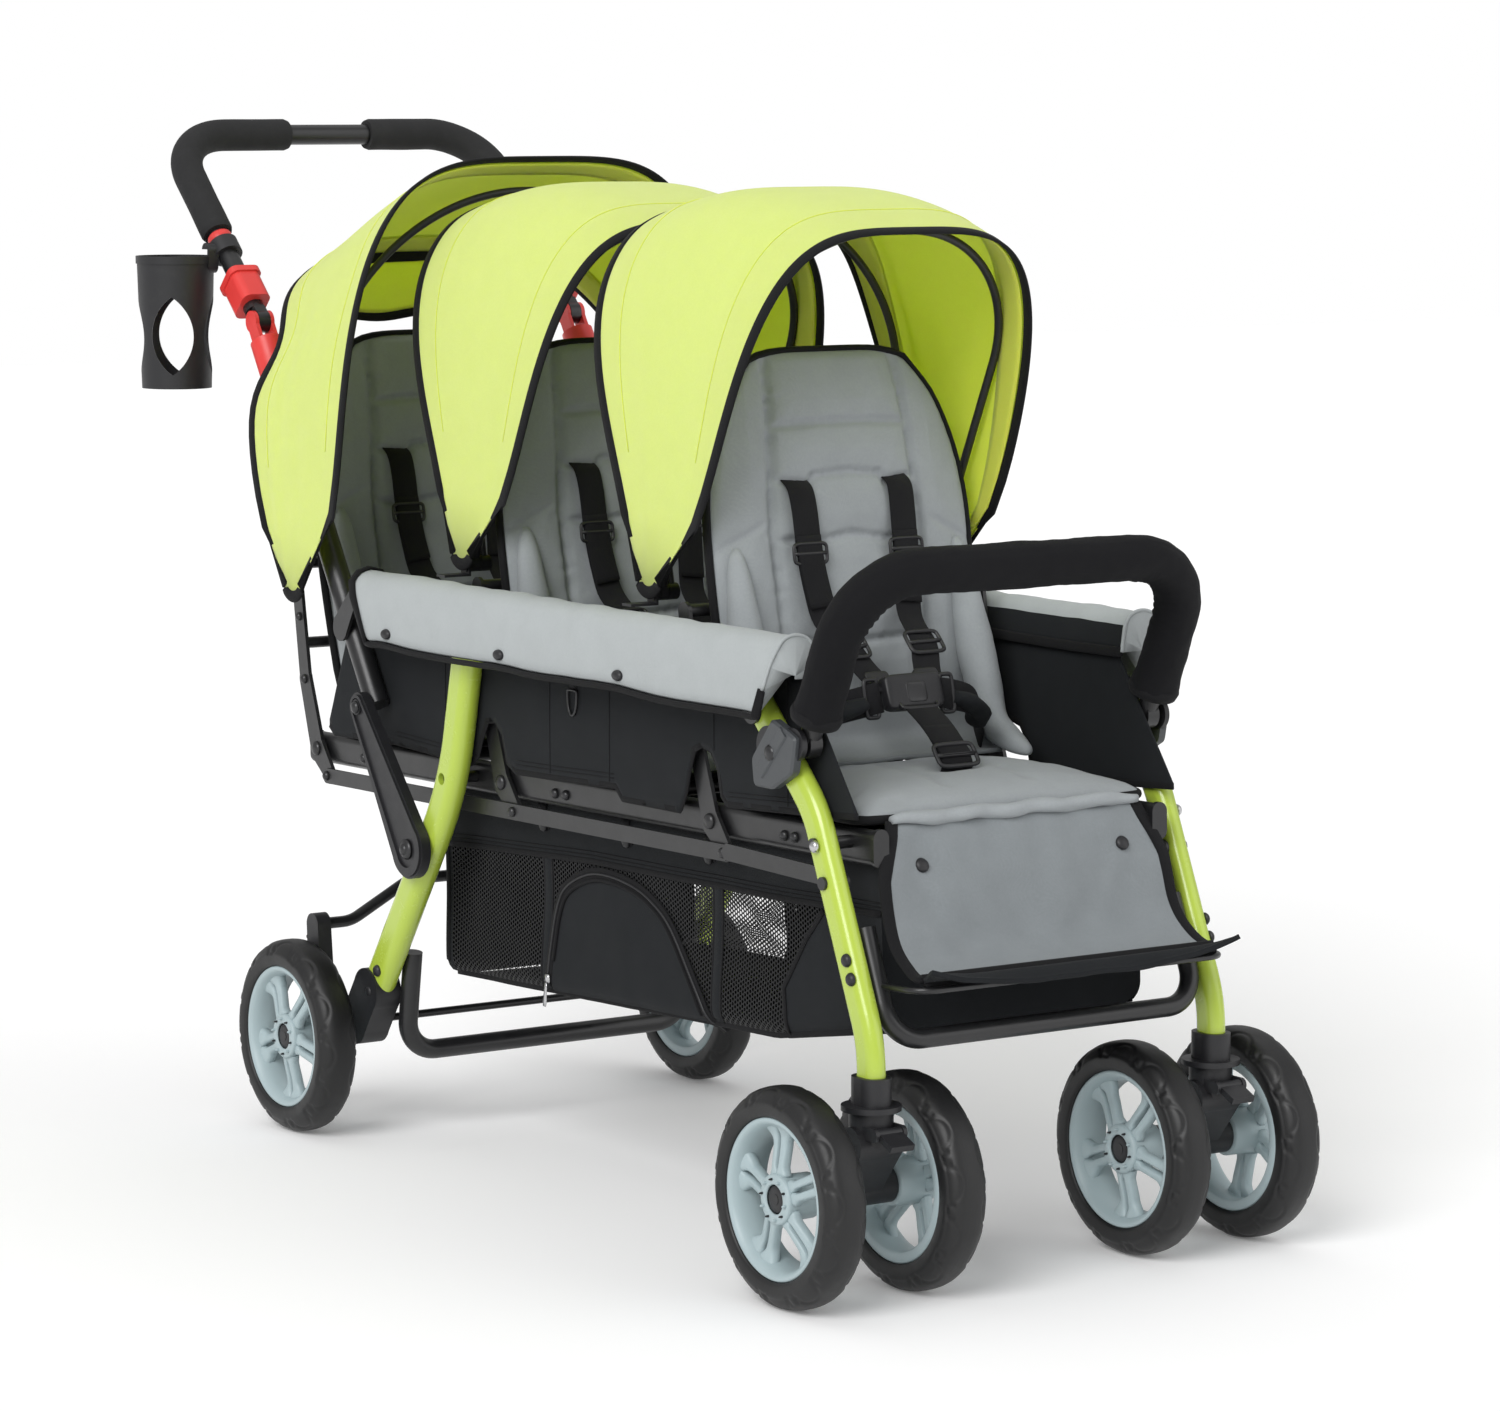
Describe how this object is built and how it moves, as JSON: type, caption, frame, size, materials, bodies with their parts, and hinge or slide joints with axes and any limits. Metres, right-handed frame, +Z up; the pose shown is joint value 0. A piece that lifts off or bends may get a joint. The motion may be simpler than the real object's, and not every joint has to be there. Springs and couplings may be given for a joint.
{
  "type": "triple tandem stroller",
  "caption": "Tandem folding stroller with seats one behind another, arched canopies, a cargo basket, twin front casters and a fold-down push handle.",
  "frame": {"origin": "on the floor under the middle of the bounding box", "axes": "+Z up; the stroller faces -Y, so the push handle is at +Y; X = 0 is the symmetry plane and the cup holder is at -X, the pusher's right"},
  "size_m": [0.557, 1.4024, 1.0406],
  "materials": {
    "lime_paint": "satin powder coat",
    "black_paint": "satin powder coat",
    "lime_cloth": "woven polyester",
    "grey_cloth": "woven polyester, padded",
    "black_cloth": "woven polyester and mesh",
    "tyre": "moulded EVA foam",
    "grey_plastic": "moulded, satin",
    "red_plastic": "moulded, satin",
    "black_plastic": "moulded, fine texture",
    "foam": "closed-cell foam"
  },
  "bodies": {
    "frame": {"front_legs": "lime_paint", "caster_sockets": "black_plastic", "rail_fittings": "black_plastic", "seat_rails": "black_paint", "armrest_tubes": "black_paint", "armrest_covers": "grey_cloth", "canopy_fixed_bows": "black_plastic", "footrest_bar": "black_paint", "calf_panel": "grey_cloth", "seat_pad_front": "grey_cloth", "seat_pad_middle": "grey_cloth", "seat_pad_rear": "grey_cloth", "side_panels": "black_cloth", "basket": "black_cloth", "grab_bar_brackets": "black_plastic", "canopy_front": "lime_cloth", "canopy_middle": "lime_cloth"},
    "backrest_front": {"seat_back_front": "grey_cloth", "hinge_plates_front": "black_paint"},
    "backrest_middle": {"seat_back_middle": "grey_cloth", "hinge_plates_middle": "black_paint"},
    "backrest_rear": {"seat_back_rear": "grey_cloth", "hinge_plates_rear": "black_paint"},
    "recline_gang": {"gang_bars": "black_paint"},
    "grab_bar": {"grab_bar_tube": "black_paint", "grab_bar_pad": "black_cloth"},
    "rear_frame": {"rear_legs": "lime_paint", "rear_u_bar": "black_paint", "axle_brackets": "black_plastic", "rear_tie_rod": "black_paint"},
    "brake": {"brake_bar": "black_paint", "brake_pedals": "black_plastic"},
    "links": {"fold_links": "black_plastic"},
    "poles": {"lower_poles": "black_paint", "pole_catches": "red_plastic", "canopy_rear": "lime_cloth"},
    "handle": {"handle_tube": "black_paint", "handle_grips": "foam", "cup_holder": "black_plastic"},
    "left_latch": {"latch_left": "red_plastic"},
    "right_latch": {"latch_right": "red_plastic"},
    "front_bow": {"canopy_bow_front": "black_plastic"},
    "middle_bow": {"canopy_bow_middle": "black_plastic"},
    "rear_bow": {"canopy_bow_rear": "black_plastic"},
    "left_caster": {"caster_fork_left": "black_plastic"},
    "right_caster": {"caster_fork_right": "black_plastic"},
    "left_lock": {"swivel_lock_left": "black_plastic"},
    "right_lock": {"swivel_lock_right": "black_plastic"},
    "left_outer_wheel": {"left_outer_tyre": "tyre", "left_outer_rim": "grey_plastic"},
    "left_inner_wheel": {"left_inner_tyre": "tyre", "left_inner_rim": "grey_plastic"},
    "right_outer_wheel": {"right_outer_tyre": "tyre", "right_outer_rim": "grey_plastic"},
    "right_inner_wheel": {"right_inner_tyre": "tyre", "right_inner_rim": "grey_plastic"},
    "rear_left_wheel": {"rear_left_tyre": "tyre", "rear_left_rim": "grey_plastic"},
    "rear_right_wheel": {"rear_right_tyre": "tyre", "rear_right_rim": "grey_plastic"}
  },
  "joints": [
    {"name": "frame_fold", "type": "hinge", "parent": "frame", "child": "poles", "pos_m": [0, 0.28926, 0.52469], "axis": [-1, 0, 0], "range_deg": [0, 45.1]},
    {"name": "rear_leg_fold", "type": "hinge", "parent": "frame", "child": "rear_frame", "pos_m": [0, 0.09276, 0.3899], "axis": [1, 0, 0], "range_deg": [0, 25]},
    {"name": "link_fold", "type": "hinge", "parent": "rear_frame", "child": "links", "pos_m": [0, 0.14176, 0.314], "axis": [1, 0, 0], "range_deg": [0, 0.6]},
    {"name": "handle_fold", "type": "hinge", "parent": "poles", "child": "handle", "pos_m": [0, 0.48376, 0.83], "axis": [-1, 0, 0], "range_deg": [0, 78]},
    {"name": "left_latch_slide", "type": "slide", "parent": "handle", "child": "left_latch", "axis": [0, 0.7193, 0.6947], "range_m": [0, 0.022], "stiffness_N_per_m": 250, "springref_m": -0.02},
    {"name": "right_latch_slide", "type": "slide", "parent": "handle", "child": "right_latch", "axis": [0, 0.7193, 0.6947], "range_m": [0, 0.022], "stiffness_N_per_m": 250, "springref_m": -0.02},
    {"name": "canopy_front_fold", "type": "hinge", "parent": "frame", "child": "front_bow", "pos_m": [0, -0.23924, 0.602], "axis": [-1, 0, 0], "range_deg": [0, 28], "deforming": ["canopy_front"]},
    {"name": "canopy_middle_fold", "type": "hinge", "parent": "frame", "child": "middle_bow", "pos_m": [0, 0.10576, 0.602], "axis": [-1, 0, 0], "range_deg": [0, 28], "deforming": ["canopy_middle"]},
    {"name": "canopy_rear_fold", "type": "hinge", "parent": "poles", "child": "rear_bow", "pos_m": [0, 0.36287, 0.64024], "axis": [-1, 0, 0], "range_deg": [0, 35], "deforming": ["canopy_rear"]},
    {"name": "grab_bar_swing", "type": "hinge", "parent": "frame", "child": "grab_bar", "pos_m": [0, -0.53424, 0.492], "axis": [1, 0, 0], "range_deg": [0, 80]},
    {"name": "backrest_fold", "type": "hinge", "parent": "frame", "child": "backrest_front", "pos_m": [0, -0.34424, 0.3976], "axis": [1, 0, 0], "range_deg": [0, 18]},
    {"name": "backrest_middle_fold", "type": "hinge", "parent": "frame", "child": "backrest_middle", "pos_m": [0, 0.03176, 0.39097], "axis": [1, 0, 0], "range_deg": [0, 18]},
    {"name": "backrest_rear_fold", "type": "hinge", "parent": "frame", "child": "backrest_rear", "pos_m": [0, 0.40776, 0.38435], "axis": [1, 0, 0], "range_deg": [0, 18]},
    {"name": "gang_bar_swing", "type": "hinge", "parent": "backrest_front", "child": "recline_gang", "pos_m": [0, -0.37124, 0.3716], "axis": [1, 0, 0], "range_deg": [-18, 0]},
    {"name": "left_caster_swivel", "type": "hinge", "parent": "frame", "child": "left_caster", "pos_m": [0.192, -0.63424, 0.177], "axis": [0, 0, 1], "continuous": true},
    {"name": "left_lock_flip", "type": "hinge", "parent": "left_caster", "child": "left_lock", "pos_m": [0.192, -0.66024, 0.16], "axis": [-1, 0, 0], "range_deg": [0, 25]},
    {"name": "left_outer_spin", "type": "hinge", "parent": "left_caster", "child": "left_outer_wheel", "pos_m": [0.2565, -0.60124, 0.1], "axis": [1, 0, 0], "continuous": true},
    {"name": "left_inner_spin", "type": "hinge", "parent": "left_caster", "child": "left_inner_wheel", "pos_m": [0.1275, -0.60124, 0.1], "axis": [1, 0, 0], "continuous": true},
    {"name": "right_caster_swivel", "type": "hinge", "parent": "frame", "child": "right_caster", "pos_m": [-0.192, -0.63424, 0.177], "axis": [0, 0, 1], "continuous": true},
    {"name": "right_lock_flip", "type": "hinge", "parent": "right_caster", "child": "right_lock", "pos_m": [-0.192, -0.66024, 0.16], "axis": [-1, 0, 0], "range_deg": [0, 25]},
    {"name": "right_outer_spin", "type": "hinge", "parent": "right_caster", "child": "right_outer_wheel", "pos_m": [-0.2565, -0.60124, 0.1], "axis": [1, 0, 0], "continuous": true},
    {"name": "right_inner_spin", "type": "hinge", "parent": "right_caster", "child": "right_inner_wheel", "pos_m": [-0.1275, -0.60124, 0.1], "axis": [1, 0, 0], "continuous": true},
    {"name": "rear_left_spin", "type": "hinge", "parent": "rear_frame", "child": "rear_left_wheel", "pos_m": [0.246, 0.32076, 0.1], "axis": [1, 0, 0], "continuous": true},
    {"name": "rear_right_spin", "type": "hinge", "parent": "rear_frame", "child": "rear_right_wheel", "pos_m": [-0.246, 0.32076, 0.1], "axis": [1, 0, 0], "continuous": true},
    {"name": "brake_press", "type": "hinge", "parent": "rear_frame", "child": "brake", "pos_m": [0, 0.32076, 0.1], "axis": [-1, 0, 0], "range_deg": [0, 20]}
  ],
  "couplings": [
    {"joint": "rear_leg_fold", "follows": "frame_fold", "ratio": 0.55432},
    {"joint": "link_fold", "follows": "frame_fold", "ratio": 0.01275},
    {"joint": "backrest_middle_fold", "follows": "backrest_fold", "ratio": 1},
    {"joint": "backrest_rear_fold", "follows": "backrest_fold", "ratio": 1},
    {"joint": "gang_bar_swing", "follows": "backrest_fold", "ratio": -1}
  ]
}
